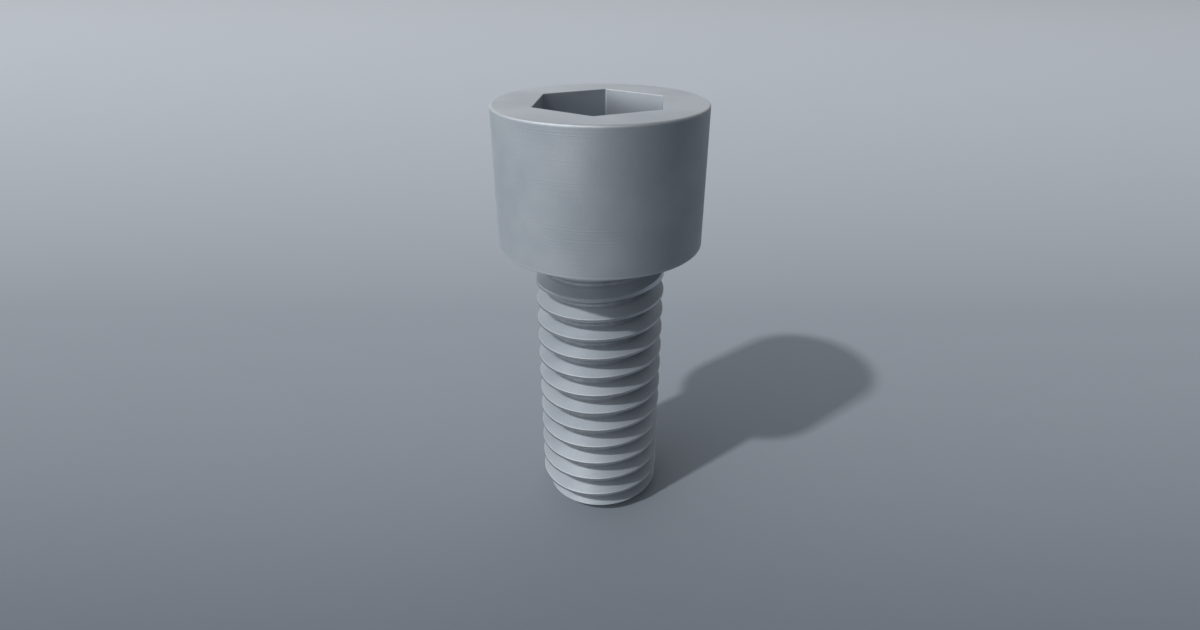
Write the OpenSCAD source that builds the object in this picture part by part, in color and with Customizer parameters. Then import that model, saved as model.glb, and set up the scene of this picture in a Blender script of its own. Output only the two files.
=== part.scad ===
// Hexagon socket head cap screw, standing on its flat end.
// The axis is Z, the end of the thread lies on z = 0 and the head is at the top.
// The defaults are a 7/16-14 by 1 inch screw, in millimetres, threaded up to its head.

/* [Head] */
// Diameter of the head
head_d = 16.66; // [14:0.02:22]
// Height of the head
head_h = 11.1; // [9:0.1:16]
// Rounding round the top rim of the head
rim_r = 0.2; // [0.05:0.05:0.6]
// Edge break round the bearing face
bearing_edge = 0.12; // [0.05:0.01:0.4]

/* [Socket] */
// Width across the flats of the hexagon
socket_af = 9.53; // [6:0.01:10.4]
// Depth of the hexagon at its corners
socket_depth = 5.6; // [3:0.1:7]
// Included angle of the cone at the socket's bottom
socket_cone = 150; // [120:5:170]
// Angle of one corner of the hexagon about the axis
socket_turn = 25; // [0:1:59]

/* [Thread] */
// Length from the bearing face to the end
length = 25.4; // [12:0.1:40]
// Diameter over the crests of the thread
thread_d = 10.9; // [9:0.02:12]
// Distance from one crest to the next
pitch = 1.8143; // [1.4:0.0001:2.2]
// Angle at which the groove leaves the flat end
thread_turn = 335; // [0:5:355]
// Diameter of the flat end, inside its chamfer
end_d = 8.5; // [6:0.02:9]
// Angle of the end's chamfer to the axis
end_angle = 45; // [30:1:60]
// Radius of the fillet between the shank and the head
neck_r = 0.5; // [0.2:0.05:0.8]
// Plain length between the neck fillet and the thread's groove
neck_gap = 0.05; // [0.02:0.01:2]
// Turns over which the groove runs out below the head
runout = 0.35; // [0.25:0.05:1]
// Facets of the thread in one turn
facets = 48; // [18:6:48]

/* [Hidden] */

total_h = length + head_h;
shank_r = thread_d / 2;
end_r = end_d / 2;
end_h = (shank_r - end_r) / tan(end_angle);

// Sixty degree thread form: a flat crest, straight flanks and a full round root
flank_angle = 30;
crest_w = pitch / 8;
v_depth = (pitch - crest_w) / 2 / tan(flank_angle);
root_r = pitch / 8 / cos(flank_angle);
root_steps = 3;
thread_depth = v_depth - root_r;

// The groove is cut by a wedge that stands clear of the crests all round
wedge_clear = 0.15;
wedge_r = shank_r + wedge_clear;
wedge_half_w = (pitch - crest_w) / 2 + wedge_clear * tan(flank_angle);
groove_top = length - neck_r - neck_gap - wedge_half_w;
groove_start = -pitch;
groove_steps = floor((groove_top - groove_start) * facets / pitch);
runout_steps = runout * facets;

socket_corner_r = socket_af / 2 / cos(30);
socket_floor_slope = 1 / tan(socket_cone / 2);
socket_tip_z = total_h - socket_depth - socket_corner_r * socket_floor_slope;
cut_over = 1;
$fn = 96;

// Half section of the plain blank: chamfered shank, neck fillet and head
module blank_section() {
    polygon([[0, 0], [end_r, 0], [shank_r, end_h], [shank_r, length], [0, length]]);
    difference() {
        translate([0, length - neck_r]) square([shank_r + neck_r, neck_r + head_h / 2]);
        translate([shank_r + neck_r, length - neck_r]) circle(neck_r);
    }
    difference() {
        translate([0, length]) square([head_d / 2, head_h]);
        translate([head_d / 2, length]) rotate(45) square(bearing_edge * sqrt(2), center = true);
        translate([head_d / 2 - rim_r, total_h - rim_r]) square(rim_r + cut_over);
    }
    translate([head_d / 2 - rim_r, total_h - rim_r]) circle(rim_r);
}

// Section of the wedge as [radius, height] pairs, from its upper to its lower outside corner
function wedge_section(lift) = [
    [wedge_r + lift, wedge_half_w],
    for (i = [0 : root_steps])
        let (a = (90 - flank_angle) * (1 - 2 * i / root_steps))
        [shank_r - v_depth + lift + root_r * (2 - cos(a)), root_r * sin(a)],
    [wedge_r + lift, -wedge_half_w]
];

// How far the wedge has moved outwards at a step, so that the groove ends in nothing
function wedge_lift(step) =
    let (t = max(0, 1 - (groove_steps - step) / runout_steps))
    t * (thread_depth + wedge_clear);

module thread_groove() {
    corners = root_steps + 3;
    points = [
        for (step = [0 : groove_steps])
        let (turn = step * 360 / facets, z = groove_start + step * pitch / facets)
        for (p = wedge_section(wedge_lift(step)))
        [p[0] * cos(turn), p[0] * sin(turn), z + p[1]]
    ];
    sides = [
        for (step = [0 : groove_steps - 1], i = [0 : corners - 1])
        let (a = step * corners + i, b = step * corners + (i + 1) % corners)
        each [[a, b, b + corners], [a, b + corners, a + corners]]
    ];
    first_end = [for (i = [corners - 1 : -1 : 0]) i];
    last_end = [for (i = [0 : corners - 1]) groove_steps * corners + i];
    rotate(thread_turn) polyhedron(points, concat([first_end, last_end], sides));
}

// Hexagon with a shallow conical bottom
module socket() {
    reach = socket_corner_r * 1.2;
    intersection() {
        translate([0, 0, socket_tip_z]) rotate(socket_turn)
            cylinder(h = total_h - socket_tip_z + cut_over, r = socket_corner_r, $fn = 6);
        rotate_extrude() polygon([
            [0, socket_tip_z],
            [reach, socket_tip_z + reach * socket_floor_slope],
            [reach, total_h + 2 * cut_over],
            [0, total_h + 2 * cut_over]
        ]);
    }
}

module cap_screw() {
    color([0.62, 0.66, 0.70]) difference() {
        rotate_extrude() blank_section();
        thread_groove();
        socket();
    }
}

cap_screw();
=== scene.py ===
import math
import bpy
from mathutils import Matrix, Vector


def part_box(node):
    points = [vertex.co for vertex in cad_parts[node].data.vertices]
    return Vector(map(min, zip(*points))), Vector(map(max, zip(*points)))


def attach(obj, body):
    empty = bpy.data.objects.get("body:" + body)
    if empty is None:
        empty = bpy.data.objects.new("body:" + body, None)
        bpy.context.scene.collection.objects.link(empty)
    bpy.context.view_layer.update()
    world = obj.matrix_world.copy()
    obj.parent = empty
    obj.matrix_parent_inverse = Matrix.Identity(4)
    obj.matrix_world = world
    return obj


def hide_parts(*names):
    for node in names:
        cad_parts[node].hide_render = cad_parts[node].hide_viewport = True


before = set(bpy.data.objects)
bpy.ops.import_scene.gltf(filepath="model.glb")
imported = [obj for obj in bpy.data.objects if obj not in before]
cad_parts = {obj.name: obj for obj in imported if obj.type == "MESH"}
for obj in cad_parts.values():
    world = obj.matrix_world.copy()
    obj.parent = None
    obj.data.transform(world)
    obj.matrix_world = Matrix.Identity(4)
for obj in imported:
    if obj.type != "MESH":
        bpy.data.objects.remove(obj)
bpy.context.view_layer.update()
mm = 0.001
fullTurn = math.radians(360)
nearby = 0.001 * mm      # for finding a vertex again by its place
hair = 0.01 * mm         # for telling the head's faces from the shank's
straightUp = 0.9999      # a face whose normal rises more than this is level
print("frame loaded:", len(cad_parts), "node")


# Small helpers: what a hand does with the mouse

def deselectAll():
    if bpy.context.object and bpy.context.object.mode != "OBJECT":
        bpy.ops.object.mode_set(mode="OBJECT")
    bpy.ops.object.select_all(action="DESELECT")


def makeActive(piece):
    deselectAll()
    piece.select_set(True)
    bpy.context.view_layer.objects.active = piece


def pick(piece, kind, wanted):
    # leaves the piece in edit mode with only the wanted vertices, edges or faces selected
    makeActive(piece)
    bpy.ops.object.mode_set(mode="EDIT")
    bpy.ops.mesh.select_mode(type=kind)
    bpy.ops.mesh.select_all(action="DESELECT")
    bpy.ops.object.mode_set(mode="OBJECT")
    mesh = piece.data
    for item in {"VERT": mesh.vertices, "EDGE": mesh.edges, "FACE": mesh.polygons}[kind]:
        item.select = wanted(item)
    bpy.ops.object.mode_set(mode="EDIT")


def drawOutline(name, corners):
    # a closed face in the XZ plane, extruded corner by corner from one vertex
    deselectAll()
    x, z = corners[0]
    bpy.ops.mesh.primitive_plane_add(size=mm, location=(x, 0, z))
    piece = bpy.context.object
    piece.name = name
    bpy.ops.object.transform_apply(location=True, rotation=True, scale=True)
    bpy.ops.object.mode_set(mode="EDIT")
    bpy.ops.mesh.select_mode(type="VERT")
    bpy.ops.mesh.select_all(action="SELECT")
    bpy.ops.mesh.merge(type="CENTER")
    for nextX, nextZ in corners[1:]:
        step = (nextX - x, 0, nextZ - z)
        bpy.ops.mesh.extrude_region_move(TRANSFORM_OT_translate={"value": step})
        x, z = nextX, nextZ
    bpy.ops.mesh.select_all(action="SELECT")
    bpy.ops.mesh.edge_face_add()
    return piece


def roundCorner(piece, corner, tangent, segments):
    # tangent is the length that the arc takes from each edge
    place = Vector((corner[0], 0, corner[1]))
    pick(piece, "VERT", lambda v: (v.co - place).length < nearby)
    bpy.ops.mesh.bevel(offset=tangent, affect="VERTICES", segments=segments, profile=0.5)


def keepOnlyEdges():
    # turns the face that is being edited into a wire
    bpy.ops.mesh.select_all(action="SELECT")
    bpy.ops.mesh.delete(type="ONLY_FACE")
    bpy.ops.object.mode_set(mode="OBJECT")


def closeAndTurnOut(piece):
    # merges the seam, fills open ends and points every face outwards
    makeActive(piece)
    bpy.ops.object.mode_set(mode="EDIT")
    bpy.ops.mesh.select_mode(type="EDGE")
    bpy.ops.mesh.select_all(action="SELECT")
    bpy.ops.mesh.remove_doubles(threshold=nearby / 2)
    bpy.ops.mesh.select_all(action="DESELECT")
    bpy.ops.mesh.select_non_manifold()
    bpy.ops.mesh.edge_face_add()
    bpy.ops.mesh.select_all(action="SELECT")
    bpy.ops.mesh.normals_make_consistent(inside=False)
    bpy.ops.object.mode_set(mode="OBJECT")


def turnRound(piece, steps):
    # spins an outline that starts and ends on the axis
    keepOnlyEdges()
    pick(piece, "EDGE", lambda e: all(piece.data.vertices[i].co.x < nearby for i in e.vertices))
    bpy.ops.mesh.delete(type="EDGE_FACE")
    bpy.ops.mesh.select_all(action="SELECT")
    bpy.ops.mesh.spin(steps=steps, angle=fullTurn, center=(0, 0, 0), axis=(0, 0, 1))
    closeAndTurnOut(piece)


def cut(piece, tool, operation):
    # the new faces keep the material of the tool that made them, and the tool goes
    makeActive(piece)
    boolean = piece.modifiers.new("cut", "BOOLEAN")
    boolean.operation = operation
    boolean.solver = "MANIFOLD"
    boolean.material_mode = "TRANSFER"
    boolean.object = tool
    bpy.ops.object.modifier_apply(modifier="cut")
    bpy.data.objects.remove(tool)


# Colours and nodes

def hexColour(code):
    # sRGB hex to the linear colour that Blender mixes
    def linear(part):
        c = int(part, 16) / 255
        return c / 12.92 if c <= 0.04045 else ((c + 0.055) / 1.055) ** 2.4
    return (linear(code[1:3]), linear(code[3:5]), linear(code[5:7]), 1)


def addNode(tree, kind, settings=None, links=None):
    # a setting goes to the node, or else to its input of that name or number,
    # and a link that names a node takes the first output that this node has in use
    node = tree.nodes.new(kind)
    inputs = dict(settings or {})
    for name in [n for n in inputs if isinstance(n, str) and hasattr(node, n)]:
        setattr(node, name, inputs.pop(name))
    for name, value in inputs.items():
        node.inputs[name].default_value = value
    for name, source in (links or {}).items():
        if isinstance(source, bpy.types.Node):
            source = next(output for output in source.outputs if output.enabled)
        tree.links.new(source, node.inputs[name])
    return node


def newMaterial(name):
    material = bpy.data.materials.new(name)
    material.use_nodes = True
    material.node_tree.nodes.clear()
    return material, material.node_tree


# The screw. Its outside comes from the CAD box, the rest repeats the real 7/16-14 x 1 inch sizes

lowCorner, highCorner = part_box("cap_screw")
screw = {
    "headRadius": -lowCorner.x,
    "top": highCorner.z,
    "bearing": 25.4 * mm,          # height of the bearing face over the flat end
    "rimRadius": 0.2 * mm,
    "rimSegments": 6,
    "bearingEdge": 0.12 * mm,
    "bearingSegments": 3,
    "neckRadius": 0.5 * mm,
    "neckSegments": 6,
    "neckGap": 0.05 * mm,          # plain shank between the neck and the groove
    "shankRadius": 5.45 * mm,      # over the crests
    "endRadius": 4.25 * mm,        # flat end, inside a 45 degree chamfer
    "endEdge": 0.05 * mm,
    "endSegments": 2,
    "steps": 144,                  # faces in one turn
    "topSlope": 0.7,               # above this rise of its normal, a face of the head is top or underside
    "sharpFrom": math.radians(28),  # edges bent more than this show as edges
}
thread = {
    "pitch": 1.8143 * mm,
    "startAngle": 335,             # degrees, where the groove crosses the flat end
    "endAngle": 50,                # degrees, where it has run out below the head
    "halfAngle": math.radians(30),
    "crestFlat": 1 / 8,            # widths of crest and root, in pitches
    "rootSegments": 7,
    "crestRadius": 0.05 * mm,      # the rolled corner between flank and crest
    "crestSegments": 3,
    "mouthAngle": math.radians(70),  # slope at which that corner leaves the crest
    "mouthReach": 0.03 * mm,       # how far the section goes on past it
    "flatGap": 0.05 * mm,          # keeps the flanks flat up to their rounded ends
    "runOut": 0.35,                # turns
    "runOutClear": 0.1 * mm,       # the section's height over the crests at its end
    "turns": 15,                   # the first ones lie below the end
}
socket = {
    "flats": 9.53 * mm,
    "halfFlat": math.radians(30),  # half the angle that one flat takes
    "depth": 5.6 * mm,             # at the corners
    "floorSlope": math.radians(15),  # a 150 degree cone
    "floorReach": 1.2,             # the cone's radius before it is cut, in corner radii
    "clear": 1 * mm,               # the cone's tool rises this far over the head
    "turn": 25,                    # degrees, angle of one corner
    "cornerEdge": 0.1 * mm,
    "cornerSegments": 3,
    "mouthEdge": 0.06 * mm,
    "mouthFlare": ((0.13, 0.5), (0.37, 0.37), (0.5, 0.13), (0.8, 0.14)),  # steps out and up, in edges
}
halfMouth = thread["pitch"] * (1 - thread["crestFlat"]) / 2
rootRadius = thread["pitch"] * thread["crestFlat"] / math.cos(thread["halfAngle"])
apexRadius = screw["shankRadius"] - halfMouth / math.tan(thread["halfAngle"])
grooveTop = screw["bearing"] - screw["neckRadius"] - screw["neckGap"] - halfMouth - thread["mouthReach"]
grooveShift = (thread["endAngle"] - thread["startAngle"]) / 360
grooveEnd = thread["pitch"] * (math.floor(grooveTop / thread["pitch"] - grooveShift) + grooveShift)


def makeBlank():
    s = screw
    chamferTop = s["shankRadius"] - s["endRadius"]
    blank = drawOutline("capScrew", [
        (0, 0), (s["endRadius"], 0), (s["shankRadius"], chamferTop),
        (s["shankRadius"], s["bearing"]), (s["headRadius"], s["bearing"]),
        (s["headRadius"], s["top"]), (0, s["top"])])
    roundCorner(blank, (s["headRadius"], s["top"]), s["rimRadius"], s["rimSegments"])
    roundCorner(blank, (s["headRadius"], s["bearing"]), s["bearingEdge"], s["bearingSegments"])
    roundCorner(blank, (s["shankRadius"], s["bearing"]), s["neckRadius"], s["neckSegments"])
    roundCorner(blank, (s["shankRadius"], chamferTop), s["endEdge"], s["endSegments"])
    roundCorner(blank, (s["endRadius"], 0), s["endEdge"], s["endSegments"])
    turnRound(blank, s["steps"])
    pick(blank, "FACE", lambda f: f.normal.z > straightUp)
    bpy.ops.mesh.dissolve_faces()      # one face on top, so that no spoke shows in its shading
    bpy.ops.object.mode_set(mode="OBJECT")
    return blank


def makeGroove():
    # the space between two strands, wound round the axis and lifted out of the shank at its end
    s, t = screw, thread
    crest = s["shankRadius"]
    rootTangent = rootRadius / math.tan(t["halfAngle"])
    crestTangent = t["crestRadius"] * math.tan((t["mouthAngle"] - t["halfAngle"]) / 2)
    flank = halfMouth / math.sin(t["halfAngle"])
    z = grooveEnd - t["turns"] * t["pitch"]

    def onFlank(length, side):
        return (apexRadius + length * math.cos(t["halfAngle"]),
                z + side * length * math.sin(t["halfAngle"]))

    def onMouth(side):
        return (crest + t["mouthReach"] * math.cos(t["mouthAngle"]),
                z + side * (halfMouth + t["mouthReach"] * math.sin(t["mouthAngle"])))

    low, high = rootTangent + t["flatGap"], flank - crestTangent - t["flatGap"]
    groove = drawOutline("threadGroove", [
        (apexRadius, z), onFlank(low, 1), onFlank(high, 1), onFlank(flank, 1), onMouth(1),
        onMouth(-1), onFlank(flank, -1), onFlank(high, -1), onFlank(low, -1)])
    roundCorner(groove, (apexRadius, z), rootTangent, t["rootSegments"])
    roundCorner(groove, onFlank(flank, 1), crestTangent, t["crestSegments"])
    roundCorner(groove, onFlank(flank, -1), crestTangent, t["crestSegments"])
    keepOnlyEdges()
    groove.rotation_euler.z = math.radians(t["endAngle"])
    bpy.ops.object.transform_apply(location=True, rotation=True, scale=True)
    ringSize = len(groove.data.vertices)
    winding = groove.modifiers.new("winding", "SCREW")
    winding.axis = "Z"
    winding.angle = fullTurn
    winding.screw_offset = t["pitch"]
    winding.iterations = t["turns"]
    winding.steps = winding.render_steps = s["steps"]
    bpy.ops.object.modifier_apply(modifier="winding")
    lastRing = len(groove.data.vertices) // ringSize - 1
    lift = crest + t["runOutClear"] - (apexRadius + rootRadius)
    for i, v in enumerate(groove.data.vertices):
        left = (lastRing - i // ringSize) / (t["runOut"] * s["steps"])
        v.co.xy *= 1 + lift * max(0, 1 - left) / math.hypot(v.co.x, v.co.y)
    closeAndTurnOut(groove)
    return groove


def makePunch():
    # the hexagon with its cone, and a flare that rounds the socket's mouth
    s, h = screw, socket
    corner = h["flats"] / 2 / math.cos(h["halfFlat"])
    tip = s["top"] - h["depth"] - corner * math.tan(h["floorSlope"])
    height = s["top"] - h["mouthEdge"] - tip
    turn = math.radians(h["turn"]) - h["halfFlat"]     # a new cylinder has a corner on the Y axis
    deselectAll()
    bpy.ops.mesh.primitive_cylinder_add(vertices=6, radius=corner, depth=height,
                                        location=(0, 0, tip + height / 2), rotation=(0, 0, turn))
    punch = bpy.context.object
    punch.name = "socketPunch"
    bpy.ops.object.transform_apply(location=True, rotation=True, scale=True)
    pick(punch, "EDGE", lambda e: abs(punch.data.vertices[e.vertices[0]].co.z
                                      - punch.data.vertices[e.vertices[1]].co.z) > height / 2)
    bpy.ops.mesh.bevel(offset=h["cornerEdge"], affect="EDGES", segments=h["cornerSegments"], profile=0.5)
    bpy.ops.object.mode_set(mode="OBJECT")
    pick(punch, "FACE", lambda f: f.normal.z > straightUp)
    wide = h["flats"] / 2
    for out, up in h["mouthFlare"]:
        grown = 1 + out * h["mouthEdge"] / wide
        bpy.ops.mesh.extrude_region_move(TRANSFORM_OT_translate={"value": (0, 0, up * h["mouthEdge"])})
        bpy.ops.transform.resize(value=(grown, grown, 1), center_override=(0, 0, 0))
        wide *= grown
    bpy.ops.object.mode_set(mode="OBJECT")
    reach = corner * h["floorReach"]
    coneTop = tip + reach * math.tan(h["floorSlope"])
    above = s["top"] + h["clear"]
    cone = drawOutline("socketFloor", [(0, tip), (reach, coneTop), (reach, above), (0, above)])
    turnRound(cone, s["steps"])
    cut(punch, cone, "INTERSECT")
    return punch


# Finish. The screw is steel with a satin zinc plate, about 8 micrometres thick, so each region still
# shows how its steel was shaped. One dictionary holds the plate, the next what differs by region.
# A pixel of the photograph is about 0.1 mm wide on the screw: finer marks are drawn that coarse

zinc = {
    "plate": "#B8BEC4",            # bright zinc, a little blue from its passivation
    "patch": "#AFB6BD",            # where the passivation is thicker
    "patchSize": 5 * mm,
    "patchFrom": 0.35,             # noise over which a patch fades in
    "patchTo": 0.65,
    "grainSize": 0.16 * mm,        # crystals of the plate, ten times coarser than the real ones
    "grainHeight": 0.002 * mm,
    "marksDetail": 3,
    "dragStretch": 0.03,           # width over length of the punch's drag lines
    "scratchWidth": 0.1 * mm,      # three times as wide as a real handling scratch
    "scratchStretch": 0.04,        # width over length
    "scratchDetail": 0,
    "scratchTurns": ((0.4, 0.9, 0.5), (1.2, 0.3, 2.1)),
    "scratchDepth": 0.0012 * mm,
    "scratchFrom": 0.66,           # noise above this is scratched
    "scratchTo": 0.78,
    "rubbed": "#C3C7CB",           # edges polished by handling
    "rubbedShare": 1,              # how much of the plate's colour it takes over
    "oilAndPaintedShade": "#7A8086",             # painted shade in the corners, with the oil and dust that stay there and dull the plate
    "oilAndPaintedShadeShare": 0.45,
    "chanceSize": 0.7 * mm,        # breaks up both of them
    "chanceFrom": 0.35,
    "chanceTo": 0.6,
    "chanceLeast": 0.7,            # share of them that is left everywhere
    "grainRough": 0.16,            # how far each one moves the roughness
    "patchRough": 0.10,
    "rubbedRough": -0.05,
    "oilAndPaintedShadeRough": 0.15,
    # how far inside an edge the rubbing or the painted shade begins, and where it is full
    "rimRubbed": (0.3 * mm, 0.05 * mm),
    "crestRubbed": (0.10 * mm, 0.01 * mm),
    "mouthRubbed": (0.10 * mm, 0.02 * mm),
    "socketOilAndPaintedShade": (1.5 * mm, 4.5 * mm),
    "rootOilAndPaintedShade": 0.35 * mm,         # the painted shade reaches this far out of the root
    "neckOilAndPaintedShade": 0.8 * mm,          # and this far down from the neck
}
headMiddle = (screw["top"] + screw["bearing"]) / 2
headHalf = (screw["top"] - screw["bearing"]) / 2
neckLow = screw["bearing"] - screw["neckRadius"] - zinc["neckOilAndPaintedShade"]
rootEnd = apexRadius + rootRadius


def inside(edge, line, place):
    # the line across which a mark grows, and the two places between which it does
    begins, full = zinc[edge]
    return (line, place - begins, place - full)


finishes = {
    # turned: rings round the head, feed 0.05 mm drawn at 0.1, that draw a highlight out up and down
    "zincOnTurnedSide": {
        "marks": "height", "size": 0.10 * mm, "high": 0.009 * mm, "rough": 0.72,
        "rubbed": inside("rimRubbed", "fromMiddle", headHalf), "oilAndPaintedShade": None},
    # faced: rings round the axis, so shallow that the top looks even
    "zincOnFacedTop": {
        "marks": "radius", "size": 0.14 * mm, "high": 0.006 * mm, "rough": 0.42,
        "rubbed": inside("rimRubbed", "radius", screw["headRadius"]), "oilAndPaintedShade": None},
    # rolled between dies: flow lines along the flanks, a dull plate that takes the light evenly, and painted
    # shade with oil in the roots
    "zincOnRolledFlanks": {
        "marks": "radius", "size": 0.09 * mm, "high": 0.005 * mm, "rough": 0.72,
        "rubbed": inside("crestRubbed", "radius", screw["shankRadius"]),
        "oilAndPaintedShade": ("radius", rootEnd + zinc["rootOilAndPaintedShade"], rootEnd)},
    # the blank's own skin on the crests, the neck and the end, rubbed bright below the neck, with painted
    # shade and oil at the neck under the head
    "zincOnCrests": {
        "marks": "radius", "size": 0.10 * mm, "high": 0.003 * mm, "rough": 0.44,
        "rubbed": ("height", screw["bearing"], neckLow),
        "oilAndPaintedShade": ("height", neckLow, screw["bearing"])},
    # punched: drag lines down the walls, oil that stays at the bottom and takes the shine away, and painted
    # shade that darkens the walls towards the bottom
    "zincOnPunchedSocket": {
        "marks": "wall", "size": 0.12 * mm, "high": 0.008 * mm, "rough": 0.60,
        "rubbed": inside("mouthRubbed", "height", screw["top"]),
        "oilAndPaintedShade": inside("socketOilAndPaintedShade", "height", screw["top"])},
}


def zincPlate(name):
    # in a colour mix, input 0 is the share and inputs 6 and 7 are the colours
    finish = finishes[name]
    material, tree = newMaterial(name)
    place = addNode(tree, "ShaderNodeTexCoord").outputs["Object"]
    parts = addNode(tree, "ShaderNodeSeparateXYZ", {}, {"Vector": place})
    height = parts.outputs["Z"]
    flat = addNode(tree, "ShaderNodeCombineXYZ", {}, {"X": parts.outputs["X"], "Y": parts.outputs["Y"]})
    radius = addNode(tree, "ShaderNodeVectorMath", {"operation": "LENGTH"}, {0: flat})
    above = addNode(tree, "ShaderNodeMath", {"operation": "SUBTRACT", 1: headMiddle}, {0: height})
    fromMiddle = addNode(tree, "ShaderNodeMath", {"operation": "ABSOLUTE"}, {0: above})
    across = {"height": height, "radius": radius, "fromMiddle": fromMiddle}

    # marks of the tool, in rings or down the wall
    if finish["marks"] == "wall":
        drag = addNode(tree, "ShaderNodeMapping", {"Scale": (1, 1, zinc["dragStretch"])}, {"Vector": place})
        marks = addNode(tree, "ShaderNodeTexNoise", {"Scale": 1 / finish["size"]}, {"Vector": drag})
    else:
        marks = addNode(tree, "ShaderNodeTexNoise",
                        {"noise_dimensions": "1D", "Scale": 1 / finish["size"],
                         "Detail": zinc["marksDetail"]}, {"W": across[finish["marks"]]})

    # handling scratches in two directions
    scratches = []
    for turn in zinc["scratchTurns"]:
        lay = addNode(tree, "ShaderNodeMapping", {"Rotation": turn, "Scale": (1, 1, zinc["scratchStretch"])},
                      {"Vector": place})
        streak = addNode(tree, "ShaderNodeTexNoise",
                         {"Scale": 1 / zinc["scratchWidth"], "Detail": zinc["scratchDetail"]},
                         {"Vector": lay})
        scratches.append(addNode(tree, "ShaderNodeMapRange",
                                 {"interpolation_type": "SMOOTHSTEP", "From Min": zinc["scratchFrom"],
                                  "From Max": zinc["scratchTo"]}, {"Value": streak}))
    scratched = addNode(tree, "ShaderNodeMath", {"operation": "MAXIMUM"}, {0: scratches[0], 1: scratches[1]})

    # crystals, patches of the passivation, and chance
    grain = addNode(tree, "ShaderNodeTexNoise", {"Scale": 1 / zinc["grainSize"]}, {"Vector": place})
    patch = addNode(tree, "ShaderNodeTexNoise", {"Scale": 1 / zinc["patchSize"]}, {"Vector": place})
    patchy = addNode(tree, "ShaderNodeMapRange",
                     {"interpolation_type": "SMOOTHSTEP", "From Min": zinc["patchFrom"],
                      "From Max": zinc["patchTo"]}, {"Value": patch})
    chance = addNode(tree, "ShaderNodeTexNoise", {"Scale": 1 / zinc["chanceSize"]}, {"Vector": place})
    broken = addNode(tree, "ShaderNodeMapRange",
                     {"interpolation_type": "SMOOTHSTEP", "From Min": zinc["chanceFrom"],
                      "From Max": zinc["chanceTo"], "To Min": zinc["chanceLeast"]}, {"Value": chance})

    # colour and roughness: the plate first, then what is rubbed off, then painted shade in the corners with
    # the oil that has settled there
    colour = addNode(tree, "ShaderNodeMix",
                     {"data_type": "RGBA", 6: hexColour(zinc["plate"]), 7: hexColour(zinc["patch"])},
                     {0: patchy})
    evenRough = finish["rough"] - (zinc["grainRough"] + zinc["patchRough"]) / 2
    rough = addNode(tree, "ShaderNodeMath",
                    {"operation": "MULTIPLY_ADD", 1: zinc["grainRough"], 2: evenRough}, {0: grain})
    rough = addNode(tree, "ShaderNodeMath", {"operation": "MULTIPLY_ADD", 1: zinc["patchRough"]},
                    {0: patch, 2: rough})
    # the second change paints shade darker into the corners and dulls the plate there
    for change in ("rubbed", "oilAndPaintedShade"):
        if finish[change]:
            line, begins, full = finish[change]
            mask = addNode(tree, "ShaderNodeMapRange",
                           {"interpolation_type": "SMOOTHSTEP", "From Min": begins, "From Max": full,
                            "To Max": zinc[change + "Share"]}, {"Value": across[line]})
            mask = addNode(tree, "ShaderNodeMath", {"operation": "MULTIPLY"}, {0: mask, 1: broken})
            colour = addNode(tree, "ShaderNodeMix", {"data_type": "RGBA", 7: hexColour(zinc[change])},
                             {0: mask, 6: colour})
            rough = addNode(tree, "ShaderNodeMath",
                            {"operation": "MULTIPLY_ADD", 1: zinc[change + "Rough"]}, {0: mask, 2: rough})

    # relief, in metres
    relief = addNode(tree, "ShaderNodeMath", {"operation": "MULTIPLY", 1: finish["high"]}, {0: marks})
    relief = addNode(tree, "ShaderNodeMath", {"operation": "MULTIPLY_ADD", 1: zinc["grainHeight"]},
                     {0: grain, 2: relief})
    relief = addNode(tree, "ShaderNodeMath", {"operation": "MULTIPLY_ADD", 1: -zinc["scratchDepth"]},
                     {0: scratched, 2: relief})
    bump = addNode(tree, "ShaderNodeBump", {"Strength": 1, "Distance": 1}, {"Height": relief})
    shader = addNode(tree, "ShaderNodeBsdfPrincipled", {"Metallic": 1},
                     {"Base Color": colour, "Roughness": rough, "Normal": bump})
    addNode(tree, "ShaderNodeOutputMaterial", {}, {"Surface": shader})
    return material


materials = {name: zincPlate(name) for name in finishes}


def wear(piece, names):
    for name in names:
        piece.data.materials.append(materials[name])


def give(piece, name, wanted):
    # puts the material of that name on the wanted faces
    pick(piece, "FACE", wanted)
    piece.active_material_index = piece.data.materials.find(name)
    bpy.ops.object.material_slot_assign()
    bpy.ops.object.mode_set(mode="OBJECT")


underHead = screw["bearing"] - hair
body = makeBlank()
wear(body, ["zincOnTurnedSide", "zincOnFacedTop", "zincOnCrests"])
give(body, "zincOnCrests", lambda f: f.center.z < underHead)
give(body, "zincOnFacedTop", lambda f: abs(f.normal.z) > screw["topSlope"] and f.center.z > underHead)
print("blank turned:", len(body.data.polygons), "faces")
groove = makeGroove()
wear(groove, ["zincOnRolledFlanks"])
cut(body, groove, "DIFFERENCE")
print("thread rolled:", len(body.data.polygons), "faces")
punch = makePunch()
wear(punch, ["zincOnPunchedSocket"])
give(punch, "zincOnPunchedSocket", lambda f: True)     # all of it, because its cone had none to pass on
cut(body, punch, "DIFFERENCE")
print("socket punched:", len(body.data.polygons), "faces,", [m.name for m in body.data.materials])
makeActive(body)
bpy.ops.object.shade_smooth_by_angle(angle=screw["sharpFrom"])
flats = body.modifiers.new("flatsStayFlat", "WEIGHTED_NORMAL")   # no rounding bends their shading
flats.keep_sharp = True
bpy.ops.object.modifier_apply(modifier="flatsStayFlat")
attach(body, "root")
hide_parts("cap_screw")


# Camera at the photograph's place: pixels, lengths behind and above the screw's foot, degrees down

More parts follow.
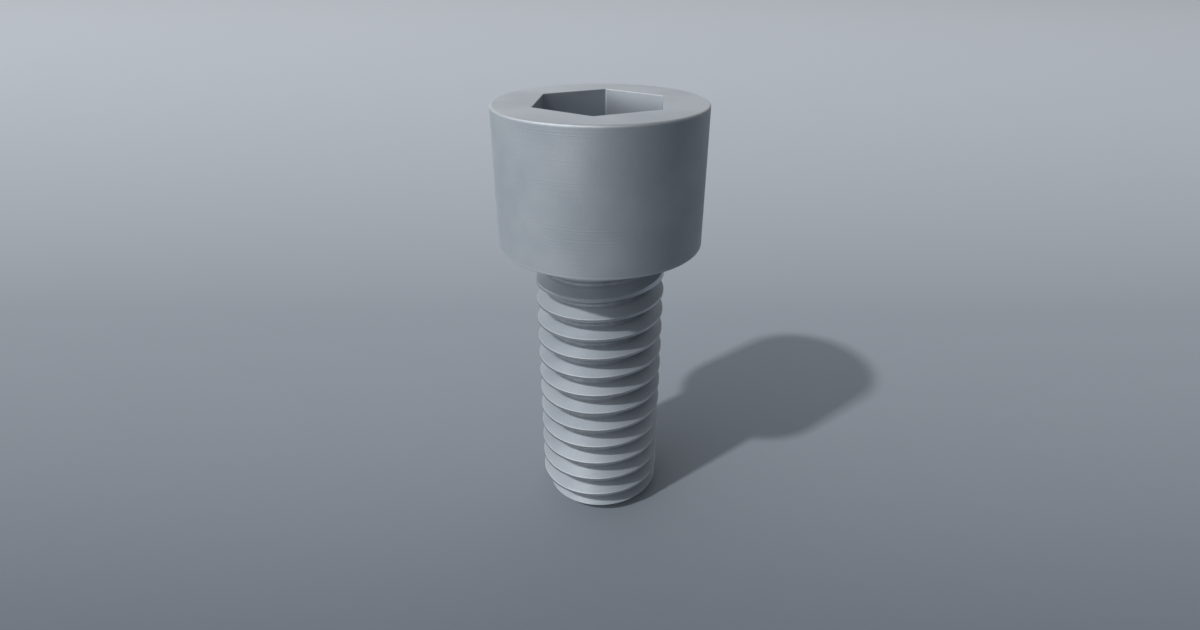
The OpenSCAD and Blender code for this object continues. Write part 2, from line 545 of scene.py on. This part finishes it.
photo = {"width": 1200, "focal": 675.8, "back": 52.68 * mm, "up": 46.04 * mm, "down": 27.83,
         "sensor": 36, "clipStart": 1 * mm, "clipEnd": 100}
deselectAll()
bpy.ops.object.camera_add(location=(0, -photo["back"], photo["up"]),
                          rotation=(math.radians(90 - photo["down"]), 0, 0))
camera = bpy.context.object
camera.data.sensor_width = photo["sensor"]
camera.data.lens = photo["sensor"] * photo["focal"] / photo["width"]
camera.data.clip_start = photo["clipStart"]
camera.data.clip_end = photo["clipEnd"]
bpy.context.scene.camera = camera
print("camera placed")


# Floor and light. Lengths are in metres here

studio = {
    "paperSize": 12,
    "paintedShadeFront": "#5F6670",       # paper with painted shade, darkest towards the camera: before the screw, a little behind it, and far off
    "paintedShadeMiddle": "#949BA4",
    "paperBack": "#CBD0D7",
    "paintedShadeLength": 0.030,          # the painted shade is darkest up to this distance from the camera, then paler as 1 over it
    "paintedShadeBlend": 0.025,           # smooths the step between the two
    "paintedShadeMiddlePlace": 0.34,           # place of the middle colour between back and front
    "paperRough": 0.9,
    "wallBright": "#F6F8FA",
    "wallDim": "#343940",
    "brightSide": Vector((-0.78, 0.38, 0.50)),
    "dimUpTo": -0.70,              # how far a direction faces the bright side
    "brightFrom": 0.75,
    "ringUpTo": 0.15,              # height of a direction up to which the walls are at full level
    "ceilingFrom": 0.85,
    "ceiling": 0.55,
}
# azimuth is in degrees to the right of the camera, so both lamps stand on its left
keyLamp = {"azimuth": -52, "elevation": 48, "distance": 3.0, "size": (0.12, 0.12), "level": 0.53}
sideLamp = {"azimuth": -46, "elevation": 8, "distance": 5.0, "size": (10.0, 0.9), "level": 0.44}


def makeFloor():
    bpy.ops.mesh.primitive_plane_add(size=studio["paperSize"], location=(0, 0, 0))
    floor = bpy.context.object
    floor.name = "floor"
    material, tree = newMaterial("paperWithPaintedShade")
    place = addNode(tree, "ShaderNodeTexCoord").outputs["Object"]
    parts = addNode(tree, "ShaderNodeSeparateXYZ", {}, {"Vector": place})
    # painted shade: the paper's colour darkens towards the camera's foot
    away = addNode(tree, "ShaderNodeMath", {"operation": "ADD", 1: photo["back"]}, {0: parts.outputs["Y"]})
    away = addNode(tree, "ShaderNodeMath",
                   {"operation": "SMOOTH_MAX", 1: studio["paintedShadeLength"], 2: studio["paintedShadeBlend"]}, {0: away})
    paintedShadeOnPaper = addNode(tree, "ShaderNodeMath", {"operation": "DIVIDE", 0: studio["paintedShadeLength"]}, {1: away})
    ramp = addNode(tree, "ShaderNodeValToRGB", {}, {"Fac": paintedShadeOnPaper})
    ramp.color_ramp.elements[0].color = hexColour(studio["paperBack"])
    ramp.color_ramp.elements[1].color = hexColour(studio["paintedShadeFront"])
    ramp.color_ramp.elements.new(studio["paintedShadeMiddlePlace"]).color = hexColour(studio["paintedShadeMiddle"])
    shader = addNode(tree, "ShaderNodeBsdfPrincipled", {"Roughness": studio["paperRough"]},
                     {"Base Color": ramp})
    addNode(tree, "ShaderNodeOutputMaterial", {}, {"Surface": shader})
    floor.data.materials.append(material)


def makeLamp(name, lamp):
    # level 1 lights a surface that faces the lamp as brightly as its colour is written
    a, e = math.radians(lamp["azimuth"]), math.radians(lamp["elevation"])
    towards = Vector((math.sin(a) * math.cos(e), -math.cos(a) * math.cos(e), math.sin(e)))
    middle = (lowCorner + highCorner) / 2
    bpy.ops.object.light_add(type="AREA", location=middle + towards * lamp["distance"],
                             rotation=towards.to_track_quat("Z", "Y").to_euler())
    light = bpy.context.object
    light.name = name
    light.data.shape = "RECTANGLE"
    light.data.size, light.data.size_y = lamp["size"]
    light.data.energy = lamp["level"] * math.pi ** 2 * lamp["distance"] ** 2


def makeWorld():
    # a bright wall behind on the left, a dim room on the right, and less light from overhead
    world = bpy.data.worlds.new("studio")
    bpy.context.scene.world = world
    world.use_nodes = True
    tree = world.node_tree
    tree.nodes.clear()
    direction = addNode(tree, "ShaderNodeTexCoord").outputs["Generated"]
    facing = addNode(tree, "ShaderNodeVectorMath",
                     {"operation": "DOT_PRODUCT", 1: studio["brightSide"].normalized()}, {0: direction})
    share = addNode(tree, "ShaderNodeMapRange",
                    {"interpolation_type": "SMOOTHSTEP", "From Min": studio["dimUpTo"],
                     "From Max": studio["brightFrom"]}, {"Value": facing})
    walls = addNode(tree, "ShaderNodeMix",
                    {"data_type": "RGBA", 6: hexColour(studio["wallDim"]),
                     7: hexColour(studio["wallBright"])}, {0: share})
    parts = addNode(tree, "ShaderNodeSeparateXYZ", {}, {"Vector": direction})
    level = addNode(tree, "ShaderNodeMapRange",
                    {"From Min": studio["ringUpTo"], "From Max": studio["ceilingFrom"], "To Min": 1,
                     "To Max": studio["ceiling"]}, {"Value": parts.outputs["Z"]})
    background = addNode(tree, "ShaderNodeBackground", {}, {"Color": walls, "Strength": level})
    addNode(tree, "ShaderNodeOutputWorld", {}, {"Surface": background})


makeFloor()
makeLamp("keyLamp", keyLamp)
makeLamp("sideLamp", sideLamp)
makeWorld()
bpy.context.scene.view_settings.view_transform = "Standard"
print("floor and light set")
